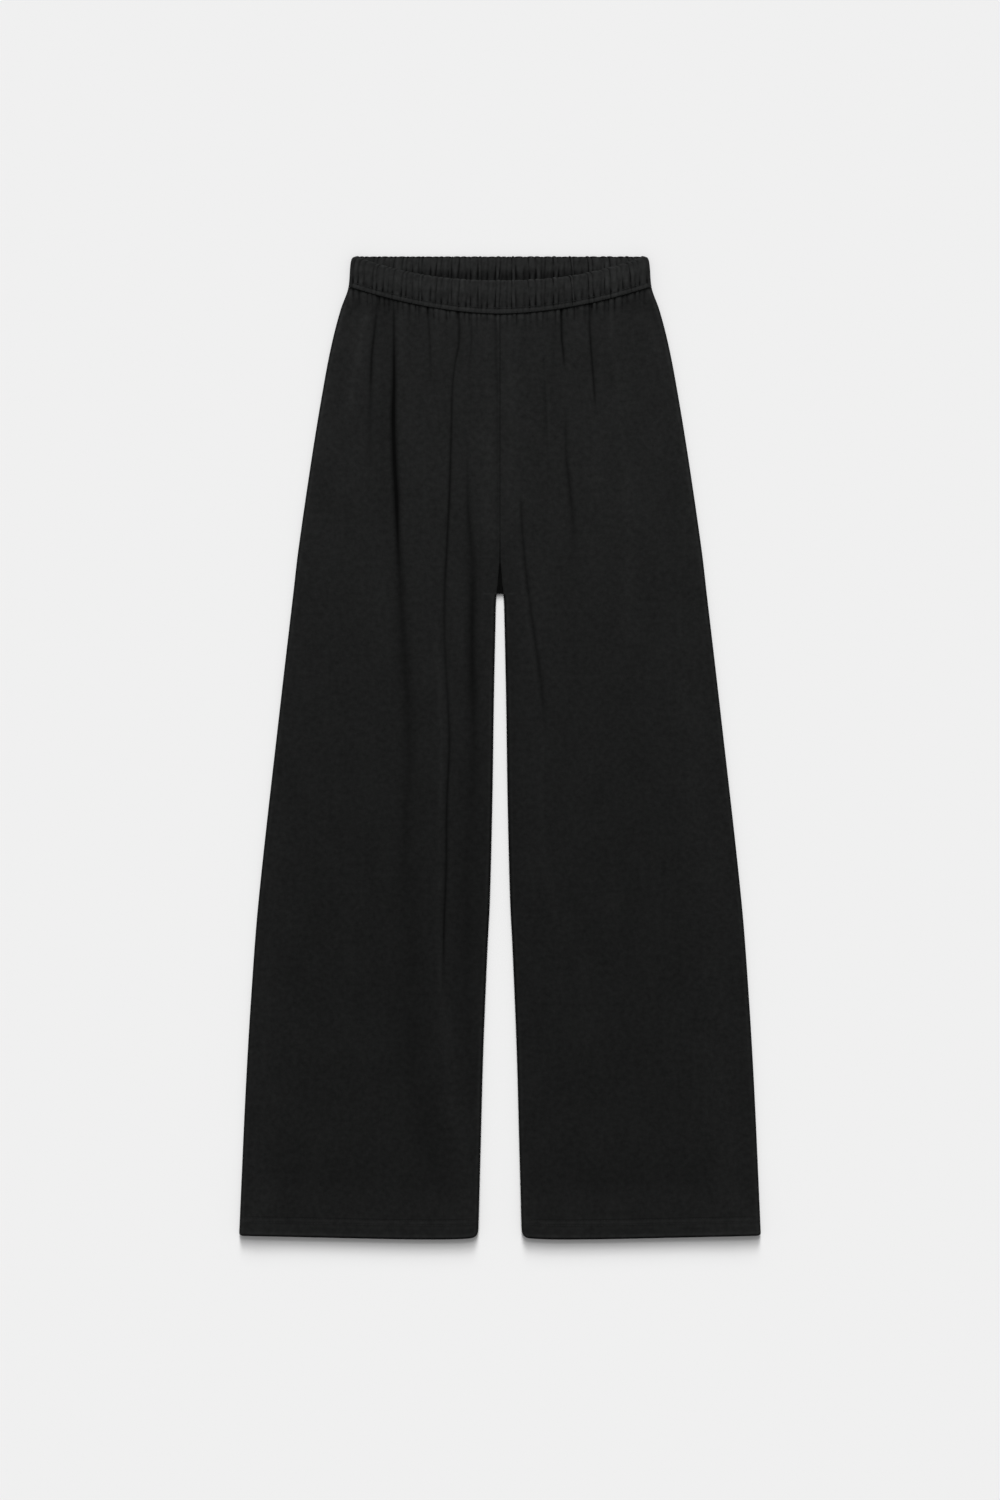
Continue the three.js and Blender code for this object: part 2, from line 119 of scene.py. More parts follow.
def cloth_material(name, colour, lift, mottle, roughness, relief):
    """A matt napped material: its colour, the painted light that pales it towards the waist, and the
    strength of nap and relief.
    """
    material = bpy.data.materials.new(name)
    material.use_nodes = True
    tree = material.node_tree
    shader = tree.nodes["Principled BSDF"]
    place = Wire(tree, tree.nodes.new("ShaderNodeTexCoord").outputs["Object"])

    def grain(size, length):
        """Noise about zero, in grains of a size across the cloth and that many times longer along it."""
        scale = {"Vector": place, "Scale": (1.0, 1 / length, 1.0)}
        along_cloth = place.node("ShaderNodeMapping", sockets=scale)
        noise = {"Vector": along_cloth, "Scale": 1 / size, "Detail": 2.0, "Roughness": 0.6}
        return place.node("ShaderNodeTexNoise", sockets=noise) - 0.5

    nap = grain(nap_size, 1.0)
    wales = grain(wale_size, wale_length)
    clouds = grain(cloud_size, cloud_length)
    upward = place.node("ShaderNodeSeparateXYZ", sockets={"Vector": place}, output="Y")
    # Painted light: the colour is lifted smoothly from the hems up to the waist, so the upper garment
    # looks more lit.
    climb = {"Value": upward, "From Min": painted_light_starts, "From Max": painted_light_ends}
    painted_light_share = place.node("ShaderNodeMapRange", {"interpolation_type": "SMOOTHSTEP"}, climb)
    # Painted shade and highlight from each piece's attribute: darker where it is positive, paler where
    # negative.
    painted_shading = place.node("ShaderNodeAttribute", {"attribute_name": "painted_shading"}, output="Fac")
    mottled = 1.0 + nap * mottle + wales * wale_mottle + clouds * cloud_mottle
    shade = mottled * (1.0 + painted_light_share * lift) * (1.0 - painted_shading)
    tint = place.node("ShaderNodeVectorMath", {"operation": "SCALE"}, {"Vector": colour, "Scale": shade})
    height = nap * nap_height + wales * wale_height
    raised = {"Strength": relief, "Distance": relief_height, "Height": height}
    bump = place.node("ShaderNodeBump", sockets=raised)
    tree.links.new(tint.socket, shader.inputs["Base Color"])
    tree.links.new(bump.socket, shader.inputs["Normal"])
    shader.inputs["Roughness"].default_value = roughness
    shader.inputs["Specular IOR Level"].default_value = cloth_shine
    shader.inputs["Sheen Weight"].default_value = cloth_sheen
    shader.inputs["Sheen Roughness"].default_value = 0.5
    return material


jersey = cloth_material("black_jersey", jersey_colour, painted_light_at_waist, 0.95, 0.95, 0.4)

# --- Backs -----------------------------------------------------------------------------------------
# The back of each leg lies flat on the floor. It rolls up at its side and inseam to meet the front, is
# turned up inside at the hem, and keeps the shallow troughs of its gathers on the side that is hidden.
mm = 0.001
cloth = 1.5
seam_gap = 0.3
back_seam_shift = 1.2
garment_top = cad_high[1] / mm
hem_bow = 4
hem_bow_lean = 0.42
hem_bow_length = 200
side_corner = 4
inseam_corner = 7
corner_blunt = 0.4
hem_depth = (cad_high[1] - cad_low[1]) / mm - hem_bow
hem_allowance = 20
hem_thickness = 2.6
side_seam = 33.6
side_width = 163.6
seam_bow = 1.8
crotch = 364
wedge_start = 300
side_edge = [
    (0, 155.5), (2, 159.2), (9, 161.2), (34.5, 163.6), (57, 171.6), (89, 180.2), (127, 188),
    (208, 201.6), (316, 217.4), (364, 223), (478, 236.3), (694, 260.3), (802, 268.6), (910, 274.8),
    (1057, 281.3),
]
inseam_edge = [
    (364, 3.6), (372, 4.3), (392, 4.8), (478, 6.6), (586, 8.2), (694, 10.9), (748, 13.6), (856, 18),
    (964, 20.9), (1016, 22.3), (1036, 22.8), (1057, 23.6),
]
front_wedge = [(300, 0), (330, 0.3), (345, 1.7), (356, 2.5), (362, 3.6), (364, 3.6)]
edge_roll = [(34.5, 3.4), (60, 2.8), (100, 2.2), (960, 2.4), (1036, 3.6), (1060, 3.8)]
roll_angles = np.radians([0, 15, 32, 50, 68])
seam_roll_width = 1.2
seam_roll_fall = 0.8
wedge_roll = 1.6
leg_side = {"left": 1, "right": -1}

# Painted shade (the lines) and painted highlight (the gleams) beside the rolled edges: tone, distance in
# from the edge and half width.
side_shade_line = (0.5, 0.4, 1.3)
side_gleam = (-0.36, 3.3, 1.4)
inseam_shade_line = (0.85, 0.6, 1.5)
inseam_gleam = (-0.25, 3.6, 1.4)
inseam_shade_at_hem = 0.4
inseam_shade_fades = (800, 1000)
palest_tone, darkest_tone = -0.7, 0.9
sharpest_smooth_angle = 55


def along(table, place):
    """Values on a smooth curve through the rows of a table of (place, value)."""
    places, values = np.array(table, float).T
    slopes = np.empty_like(values)
    slopes[1:-1] = (values[2:] - values[:-2]) / (places[2:] - places[:-2])
    slopes[[0, -1]] = np.diff(values)[[0, -1]] / np.diff(places)[[0, -1]]
    place = np.clip(place, places[0], places[-1])
    i = np.clip(np.searchsorted(places, place, side="right") - 1, 0, len(places) - 2)
    span = places[i + 1] - places[i]
    t = (place - places[i]) / span
    start, end = values[i], values[i + 1]
    first, last = slopes[i] * span, slopes[i + 1] * span
    cubic = 2 * (start - end) + first + last
    square = 3 * (end - start) - 2 * first - last
    return ((cubic * t + square) * t + first) * t + start


def between(table, place):
    """Values on straight lines between the rows of a table of (place, value)."""
    return np.interp(place, *zip(*table))


def smooth(value, low, high):
    t = np.clip((value - low) / (high - low), 0, 1)
    return t * t * (3 - 2 * t)


def bell(value, centre, width):
    return np.exp(-((value - centre) / width) ** 2)


def mix(first, second, share):
    return first + (second - first) * share


def steps(start, end, spacing):
    return list(np.linspace(start, end, max(2, round(abs(end - start) / spacing) + 1)))


# Gathers at the waist: the places of their valleys, as shares of the half width, and their sizes.
gathers = 50
gather = np.arange(gathers + 1)
wander = 0.24 * np.sin(2.4 * gather + 1) + 0.12 * np.sin(5.1 * gather)
wander[[0, gathers // 2, gathers]] = 0
valleys = 2 * (gather + wander) / gathers - 1
gather_size = 0.72 + 0.24 * np.sin(1.9 * gather + 0.6) + 0.18 * np.sin(4.3 * gather)
gather_lean = 1.2 * np.sin(0.7 * gather) + 0.8 * np.sin(2.9 * gather + 2)
gather_reach = 18 + 6 * np.sin(3.7 * gather) + 10 * np.sin(1.3 * gather + 1) ** 3
ridge_roundness = 0.6
mean_ridge = 0.72


def gathering(share):
    """The gather at each place on the waist, and the height of its ridge there, from 0 to 1."""
    number = np.clip(np.searchsorted(valleys, share, side="right") - 1, 0, gathers - 1)
    t = np.clip((share - valleys[number]) / (valleys[number + 1] - valleys[number]), 0, 1)
    return number, np.sin(np.pi * t) ** ridge_roundness


def cloth_wall(name, outside, inside, painted_shading, material, inner_shade=0):
    """A closed wall of cloth between two skins, each of rows of points from the waist down."""
    points = np.concatenate([outside, inside[::-1]])
    rows, columns = points.shape[:2]
    bpy.ops.mesh.primitive_grid_add(x_subdivisions=columns - 1, y_subdivisions=rows - 1)
    piece = bpy.context.object
    piece.name = piece.data.name = name
    piece.data.vertices.foreach_set("co", (points * mm).astype(np.float32).ravel())
    shades = np.clip(np.concatenate([painted_shading, (painted_shading + inner_shade)[::-1]]), palest_tone, darkest_tone)
    kept = piece.data.attributes.new("painted_shading", "FLOAT", "POINT")
    kept.data.foreach_set("value", shades.astype(np.float32).ravel())
    wall = bmesh.new()
    wall.from_mesh(piece.data)
    wall.verts.ensure_lookup_table()
    rims = [[(0, c), (0, c + 1), (rows - 1, c + 1), (rows - 1, c)] for c in range(columns - 1)]
    for edge in (0, columns - 1):
        for r in range(rows // 2 - 1):
            rims.append([(r, edge), (r + 1, edge), (rows - 2 - r, edge), (rows - 1 - r, edge)])
    for rim in rims:
        wall.faces.new([wall.verts[row * columns + column] for row, column in rim])
    bmesh.ops.recalc_face_normals(wall, faces=wall.faces)
    wall.to_mesh(piece.data)
    wall.free()
    bpy.ops.object.shade_smooth_by_angle(angle=math.radians(sharpest_smooth_angle))
    piece.data.materials.append(material)
    piece.select_set(False)
    return piece


def corner(up, radius):
    """How far a row is drawn in to round the corner of a hem."""
    rise = np.clip(up + corner_blunt, 0, radius)
    return radius - np.sqrt(radius ** 2 - (radius - rise) ** 2)


class Panel:
    """Where each row of a leg panel ends, how thick it is and how far it rolls over at its edges."""

    def __init__(self, leg, is_front, seam, row, tuck):
        self.leg, self.outward = leg, 1 if is_front else -1
        self.row, self.tuck = row[:, None], tuck[:, None]
        drop = (seam - side_seam) * (1 - smooth(self.row, seam, wedge_start)) * is_front
        up = hem_depth - self.row
        parted = self.row > crotch
        leg_roll = along(edge_roll, self.row)
        wedge = smooth(self.row, wedge_start, crotch) * is_front
        front_joint = seam_gap / 2 + between(front_wedge, self.row)
        joined = front_joint if is_front else back_seam_shift * leg_side[leg]
        self.drop = drop
        self.square_side = along(side_edge, self.row - drop)
        self.square_inseam = np.where(parted, along(inseam_edge, self.row), joined)
        self.side = self.square_side - corner(up, side_corner)
        self.inseam = self.square_inseam + corner(up, inseam_corner) * parted
        self.rolled = np.where(parted, 1, wedge)
        self.side_roll = along(edge_roll, self.row - drop)
        self.across = np.where(parted, leg_roll, mix(seam_roll_width, wedge_roll * leg_roll, self.rolled))
        self.fall = mix(seam_roll_fall, leg_roll, self.rolled)
        self.inseam_top = 2 * leg_roll
        self.wall = np.where(up < hem_allowance, hem_thickness, cloth)
        self.lowest, self.highest = self.inseam + self.across, self.side - self.side_roll
        self.bow = hem_bow * smooth(self.row, hem_depth - hem_bow_length, hem_depth)

    def depth(self, x):
        share = np.clip((x - self.square_inseam) / (self.square_side - self.square_inseam), 0, 1)
        raised = self.drop * (x / self.side) ** seam_bow
        return self.row - raised + self.bow * np.sin(np.pi * share ** hem_bow_lean)

    def skins(self, x, z):
        """Outer and inner skin of the panel, from X and the height of the outer skin on each column."""
        def rolled(x, z, direction, width, height, turned):
            sides = []
            for loss in (self.tuck, self.wall - self.tuck):
                out = (width - loss * turned) * np.cos(roll_angles)
                flat = loss + height * (1 - np.sin(roll_angles))
                round_over = height - (height - loss) * np.sin(roll_angles)
                sides.append((x + direction * out, z - self.outward * mix(flat, round_over, turned)))
            return sides
        inner = rolled(x[:, :1], z[:, :1], -1, self.across, self.fall, self.rolled)
        outer = rolled(x[:, -1:], z[:, -1:], 1, self.side_roll, self.side_roll, np.ones_like(self.rolled))
        made = []
        for k, loss in enumerate((self.tuck, self.wall - self.tuck)):
            all_x = np.hstack([inner[k][0], x, outer[k][0][:, ::-1]])
            all_z = np.hstack([inner[k][1], z - self.outward * loss, outer[k][1][:, ::-1]])
            y = garment_top - self.depth(np.maximum(all_x, 0))
            made.append(np.stack([leg_side[self.leg] * all_x, y, all_z], axis=-1))
        return made

    def edge_shading(self, x):
        """Painted highlight a little inside the rolled edges, and painted shade on their dark outline."""
        def line(inwards, painted_shading, distance, width):
            return painted_shading * bell(inwards, distance, width)
        from_side, from_inseam = self.side - x, x - self.inseam
        down_the_leg = mix(1, inseam_shade_at_hem / inseam_shade_line[0], smooth(self.row, *inseam_shade_fades))
        at_side = line(from_side, *side_shade_line) + line(from_side, *side_gleam)
        at_inseam = line(from_inseam, *inseam_shade_line) * down_the_leg + line(from_inseam, *inseam_gleam)
        return at_side + at_inseam * (self.row > crotch)


hem_fold = np.radians([0, 25, 50, 74])
hem_rows = list(hem_depth - hem_thickness / 2 * (1 - np.sin(hem_fold)))
hem_tucks = list(hem_thickness / 2 * (1 - np.cos(hem_fold)))
hem_stitch_lines = (15, 20)
hem_groove_depth = 0.24
hem_groove_width = 0.9
# Painted shade and highlight up the hem from its edge: painted shade along the edge, painted highlights
# inside it and between the rows of stitching.
hem_shading = [
    (0, 0.85), (1, 0.85), (1.8, 0.35), (2.6, -0.45), (4, -0.45), (5.4, -0.1), (10, -0.05),
    (12.2, -0.2), (14, 0.0), (15.2, 0.0), (16.4, -0.28), (18.4, -0.28), (19.6, 0.02), (20.8, 0.05),
    (22.8, -0.08), (24, 0), (60, 0.05), (120, 0),
]


row_spacing_at_waist = 1.4
row_spacing_at_crotch = 2.5
row_spacing = 5.5


def panel_rows(top):
    """Row depths and tucks of a panel: close at the waist, the crotch and the hem's stitching."""
    waist = steps(top, top + 60, row_spacing_at_waist)
    leg = steps(top + 60, crotch - 34, row_spacing)[1:]
    leg += steps(crotch - 34, crotch - 4, row_spacing_at_crotch)[1:]
    leg += [crotch + step for step in (-1.8, -0.2, 0.2, 2)]
    leg += steps(crotch + 4, hem_depth - 30, row_spacing)
    ups = steps(28.5, 23.5, 1.2) + steps(22.8, 15.6, 0.6) + steps(14, 6, 2) + [4.8, 3.8, 3, 2.3, 1.7]
    rows = waist + leg + [hem_depth - up for up in ups] + hem_rows
    return np.array(rows), np.array([0.0] * (len(rows) - len(hem_tucks)) + hem_tucks)


def hem_grooves(up):
    return sum(hem_groove_depth * bell(up, line, hem_groove_width) for line in hem_stitch_lines)


# The backs' troughs: path as (depth, distance from the centre), half width and height inside.
back_creases = [
    ([(40, 26), (200, 30), (420, 44)], 3.2, 1.1),
    ([(40, 61), (120, 64), (210, 66)], 2.6, 0.9),
    ([(40, 88), (260, 90), (560, 82), (900, 70)], 4.0, 1.2),
    ([(40, 124), (180, 128), (330, 150)], 3.4, 1.0),
    ([(40, 150), (90, 156), (150, 163)], 2.8, 0.8),
]
back_crease_shift = {"left": 1.5, "right": -2}
back_gather_depth = 0.6
back_edge_blend = 8
fold_sharpness = 1.5
# Painted shade in the troughs of the folds and painted highlight on their ridges, for each mm they sink
# or rise.
shading_per_sink = 0.3
wedge_shade = 0.9
wedge_shade_width = 9

backs = {}
back_skins = {}
for leg in ("left", "right"):
    row, tuck = panel_rows(side_seam + seam_gap / 2)
    panel = Panel(leg, False, side_seam, row, tuck)
    x = mix(panel.lowest, panel.highest, np.linspace(0, 1, 131)[None, :])
    depth = panel.depth(x)
    number, ridge = gathering(x / side_width)
    down = panel.row - row[0]
    gathered = 1 - smooth(down, 0, gather_reach[number])
    sink = back_gather_depth * gather_size[number] * (1 - ridge) * gathered
    for path, width, rise in back_creases:
        share = (depth - path[0][0]) / (path[-1][0] - path[0][0])
        fade = smooth(share, 0, 0.05) * (1 - smooth(share, 0.55, 1))
        off = (x - back_crease_shift[leg] - along(path, depth)) / width
        sink = sink + rise * fade * np.exp(-np.abs(off) ** fold_sharpness)
    body = sink + hem_grooves(hem_depth - panel.row)
    z = body * smooth(x - panel.lowest, 0, back_edge_blend)
    z = z * smooth(panel.highest - x, 0, back_edge_blend)
    outside, inside = panel.skins(x, z)
    ends = np.zeros((len(row), len(roll_angles)))
    # Painted shade in the troughs, along the rolled edges and across the hem.
    painted_shading = np.hstack([ends, shading_per_sink * sink, ends])
    painted_shading = painted_shading + panel.edge_shading(np.abs(outside[..., 0])) + between(hem_shading, hem_depth - panel.row)
    # Painted shade on the inside of the back, under the wedge where the fronts part.
    wedge_rows = smooth(panel.row, wedge_start - 10, wedge_start + 40) * (panel.row < crotch)
    shade_under_wedge = wedge_shade * bell(np.abs(outside[..., 0]), 0, wedge_shade_width) * wedge_rows
    back = cloth_wall(f"back_{leg}_cloth", outside, inside, painted_shading, jersey, shade_under_wedge)
    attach(back, "root")
    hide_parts(f"back_{leg}")
    backs[leg] = back
    back_skins[leg] = outside

# --- Fronts ----------------------------------------------------------------------------------------
# The front of each leg lies on the back, a little slack, and falls in long uneven creases from the
# gathers of the waistband. The fronts meet at the centre seam and part in a wedge above the crotch.
over_back = 1.9
over_band = 4.8
front_seam = 62.7
hem_rise = 2 * (hem_thickness - cloth)
hem_rise_length = 60
gather_height = 0.8
least_slack = 0.15
most_slack = 4.2
seam_dip_depth = 0.5
seam_dip_length = 1.3
seam_gleam = (0.12, 3.2, 1.8)
gather_contrast = 1.7
gather_gleam = 0.07
centre_seam_dip = 0.2
edge_blend = 14
centre_blend = 4
front_loft = [
    (36, 0.8), (61, 1.2), (110, 2.5), (200, 2.9), (364, 2.5), (560, 2), (800, 1.5), (1000, 1.2),
    (1038, 1.2), (1060, 2.1),
]
front_columns = 185
beside_crease = [
    (-4, -4.5), (-3, -2.4), (-2, -1.2), (-1, -0.5), (0, 0), (1, 0.5), (2, 1.2), (3, 2.4), (4, 4.5),
]

# The folds that columns of the mesh keep to, by the column, and the softer ones. A row for each place
# on a fold: depth from the garment's top, distance from the centre, half width, and sink, which is
# how far a crease lies below the slack, or minus that of a ridge above it.
creases = {
    "right": {
        22: [
            (57, 30.8, 1.2, 0.9), (95, 30.8, 1.2, 0.9), (122, 33, 1.4, 0.6), (146, 33.5, 2, 0),
            (215, 35.5, 2, 0.2), (250, 35.1, 2.4, 1.1), (271, 34.6, 2.6, 1.5), (311, 31.5, 3.5, 1.5),
            (336, 29.5, 6, 1.5),
            (370, 29.6, 5.5, 2.0), (400, 30.2, 5.2, 2.3), (465, 29.6, 5.5, 2.0), (530, 28.4, 6.5, 1.2),
            (595, 30.5, 9, 0.85), (659, 35, 10, 0.8), (724, 35.6, 11, 0.95), (789, 36.2, 8, 0.6),
            (854, 33, 6, 0.5), (919, 29.5, 6, 0.1), (960, 32, 6, 0), (1057, 38, 6, 0),
        ],
        42: [
            (57, 44.5, 1.4, 1.8), (95, 44.3, 1.3, 1.6), (116, 48, 1.2, 1.3), (143, 51.2, 1.2, 1.4),
            (187, 52.4, 1.3, 1.7), (230, 53.5, 1.4, 2.0), (262, 54.6, 1.4, 2.2), (305, 56.7, 1.4, 2.1),
            (336, 58.2, 1.4, 1.9), (359, 59.4, 1.6, 1.6), (392, 60, 1.8, 1.4), (435, 58.9, 1.8, 1.3),
            (494, 55.7, 1.6, 1.4), (530, 54.6, 1.4, 1.7), (595, 57.4, 1.4, 2.2), (659, 58, 1.4, 2.1),
            (724, 60.4, 1.3, 2.5), (750, 60.8, 1.3, 1.9), (762, 61, 1.5, 0.9), (790, 61.5, 2, 0.5),
            (830, 62, 3, 0),
        ],
        64: [(50, 78.3, 1.2, 1.0), (89, 76.2, 1.3, 1.2), (115, 75.1, 1.5, 0.9), (146, 74.5, 2, 0)],
        92: [
            (44, 114.6, 1.3, 1.7), (89, 114.3, 1.4, 2.2), (133, 114.2, 2.2, 3.6), (176, 114.9, 2.5, 4.2),
            (219, 113.8, 2.7, 4.4), (262, 111.6, 2.8, 4.2), (305, 110.2, 3, 2.7), (338, 108.5, 4, 1.8),
            (400, 105.5, 6, 1.5), (465, 100.4, 7, 1.45), (530, 98.6, 7.5, 1.05), (595, 99.9, 7.5, 0.85),
            (659, 103, 6, 0.7), (700, 103, 6, 0.2), (740, 103, 6, 0),
        ],
        116: [
            (44, 132.3, 1.3, 1.0), (68, 133.5, 1.3, 1.5), (89, 136, 1.5, 1.9), (111, 138.2, 1.6, 2.1),
            (133, 139, 1.6, 2.0), (150, 139.3, 2, 1.1), (175, 139.5, 2.5, 0.8), (215, 140, 3, 0.5),
            (240, 140, 3, 0),
        ],
    },
    "left": {
        22: [
            (255, 22.2, 1.6, 0), (270, 22.5, 1.6, 1.1), (284, 23.2, 1.6, 1.2), (316, 25.3, 1.8, 1.3),
            (349, 28.6, 1.8, 1.3), (413, 37.2, 2, 1.3), (467, 44.8, 2.4, 1.2), (494, 46.9, 3, 0.8),
            (530, 48, 3, 0.5), (600, 49, 3, 0.3), (660, 49, 3, 0),
        ],
        42: [
            (100, 46.5, 1.4, 0), (115, 46.9, 1.4, 0.5), (187, 50.2, 1.6, 0.6), (235, 52.5, 2, 0),
            (520, 65, 2, 0),
        ],
        62: [
            (55, 66.4, 1.2, 2.4), (89, 66.5, 1.2, 2.6), (111, 68.5, 1.3, 1.8), (130, 69.5, 2, 0),
            (165, 70.5, 2, 0), (187, 70.7, 2, 0.9), (219, 71.5, 2.2, 1.3), (251, 75, 2.4, 1.5),
            (284, 78, 3, 1.3), (311, 79.3, 4, 0.7), (345, 80.5, 5, 0),
        ],
        86: [
            (46, 96.6, 1.2, 2.0), (79, 96.6, 1.2, 2.0), (127, 99.9, 1.3, 2.1), (154, 102, 1.4, 1.5),
            (175, 103.5, 2, 0),
        ],
    },
}
swells = {
    "right": [
        [(38, 122.5, 2, 0.7), (79, 122, 2, 0)],
        [(640, 93, 12, 0), (659, 88, 14, 0.4), (724, 93.5, 13, 0.45), (789, 97.8, 17, 0.7),
         (854, 95.5, 20, 0.65), (919, 86, 18, 0.65), (984, 72, 14, 0.4), (1030, 66, 12, 0)],
        [(380, 70, 4, 0), (400, 69, 4, -0.5), (465, 66, 4, -0.5), (530, 63, 2.5, -0.8),
         (595, 64.5, 3, -0.6), (659, 65, 3, -0.5), (724, 65.5, 3, -0.6), (789, 64, 2.5, -1.1),
         (854, 55, 8, -0.6), (919, 50, 9, -0.6), (984, 38, 9, -0.4), (1056, 32, 9, -0.3)],
        [(60, 12.5, 8, 0), (120, 12.5, 8, -0.5), (283, 12.5, 7, -0.6), (330, 12.5, 6, 0)],
        [(40, 140, 5, -0.7), (68, 144.7, 6, -1.1), (89, 149, 6.5, -0.9), (111, 152.3, 6.5, -1.0),
         (133, 156.6, 6, -0.8), (154, 160, 5, -0.8), (190, 166, 5, 0)],
        [(50, 124, 8, 0.1), (80, 125, 8.5, 0.4), (200, 126, 8.5, 0.45), (280, 124, 8, 0.4),
         (330, 122, 8, 0)],
        [(50, 106, 5, -0.3), (62, 106, 5, -0.7), (100, 106, 5, -0.7), (130, 106, 5, 0)],
        [(48, 67, 4.5, -0.3), (60, 67, 4.5, -0.6), (90, 67, 4.5, -0.5), (120, 67, 4.5, 0)],
        [(40, 164.5, 4, -0.3), (62, 170.5, 4, -1.0), (95, 177.5, 4, -0.4), (130, 182.5, 4, 0)],
        [(520, 228, 14, 0), (600, 237, 16, -0.3), (694, 246, 18, -0.4), (910, 261, 18, -0.45),
         (1056, 262, 20, -0.5)],
        [(750, 16, 3, 0), (802, 17, 3, -0.4), (910, 21, 3, -0.6), (1000, 24, 3, -0.4),
         (1050, 25, 3, -0.4)],
        [(40, 3.5, 1.6, 0.9), (100, 4.5, 1.6, 0.9), (154, 2.7, 1.6, 0.8), (240, 2, 1.6, 0.7),
         (290, 2, 2, 0.4)],
    ],
    "left": [
        [(300, 18.5, 2.5, 0), (349, 23.5, 2.5, -0.4), (413, 31.5, 2.5, -0.45), (467, 39.5, 3, -0.45),
         (500, 45, 3, -0.45), (521, 47, 3, -0.5), (651, 47.5, 3.5, -0.5), (694, 57.5, 4, -0.4),
         (748, 65, 4, -0.3), (800, 70, 4, 0)],
        [(130, 50.5, 1.6, 0), (154, 52, 1.6, -0.5), (197, 53, 1.8, -0.5), (225, 54.5, 2, 0)],
        [(70, 57.5, 3, 0), (90, 57.7, 3, 0.6), (122, 57.7, 3, 0.5), (140, 57.5, 3, 0)],
        [(55, 83.5, 4, 0), (79, 83.7, 4, -0.5), (110, 84.5, 4, 0)],
        [(50, 118, 3, 0), (68, 119, 3, -0.6), (111, 121, 3, -0.6), (130, 122, 3, 0)],
        [(110, 127, 5, 0), (130, 129, 5, -0.5), (187, 130.5, 6, -0.5), (241, 137.5, 7, -0.5),
         (327, 138.5, 7, -0.5), (370, 137.5, 7, -0.4), (413, 135.5, 7, -0.3), (450, 133, 7, 0)],
        [(180, 105, 8, 0), (215, 105, 8, -0.4), (262, 105, 8, -0.4), (290, 105, 8, 0)],
        [(60, 11, 7, 0), (100, 11, 7, -0.5), (270, 11, 7, -0.5), (310, 11, 6, 0)],
        [(60, 160, 5, 0), (75, 162, 5, -0.5), (100, 168, 5, -0.4), (130, 176, 5, 0)],
        [(170, 194, 4, 0), (190, 198, 4, -0.6), (251, 206, 4, -0.6), (280, 210, 4, 0)],
        [(340, 8, 5, 0), (380, 10, 5, 0.5), (500, 11, 6, 0.5), (700, 13, 6, 0.4), (781, 15, 6, 0.3),
         (830, 18, 6, 0)],
        [(940, 28, 4, 0), (975, 27, 4, -0.5), (1040, 29, 4, -0.4), (1056, 29, 4, -0.3)],
        [(640, 124, 6, 0), (673, 124, 6, -0.4), (716, 124, 6, -0.4), (750, 126, 6, 0)],
        [(740, 90, 6, 0), (765, 92, 6, -0.4), (820, 92, 6, -0.4), (850, 94, 6, 0)],
        [(400, 196, 20, 0), (480, 205, 24, -0.45), (700, 228, 28, -0.45), (1056, 250, 28, -0.45)],
    ],
}


def path_of(fold, depth):
    return along([(place, x) for place, x, width, sink in fold], depth)


def sunk(leg, x, depth):
    """How far the folds sink a front at each place."""
    total = np.zeros_like(x)
    for fold in list(creases[leg].values()) + swells[leg]:
        places, _, widths, sinks = zip(*fold)
        off = (x - path_of(fold, depth)) / np.interp(depth, places, widths)
        total = total + np.interp(depth, places, sinks) * np.exp(-np.abs(off) ** fold_sharpness)
    return total


def front_underside(depth):
    return mix(over_band, over_back, smooth(depth, 28, 66))


def columns_by_creases(leg, panel):
    """X of each column on each row: columns keep to the creases and spread evenly between them."""
    found = []
    for i, depth in enumerate(panel.row[:, 0]):
        stops = [(0, panel.lowest[i, 0])]
        for column, fold in creases[leg].items():
            guess = path_of(fold, depth)
            x = path_of(fold, depth - panel.drop[i, 0] * (guess / panel.side[i, 0]) ** seam_bow)
            stops += [(column + step, x + offset) for step, offset in beside_crease]
        stops.append((front_columns, panel.highest[i, 0]))
        found.append(np.interp(np.arange(front_columns + 1), *zip(*stops)))
    return np.array(found)


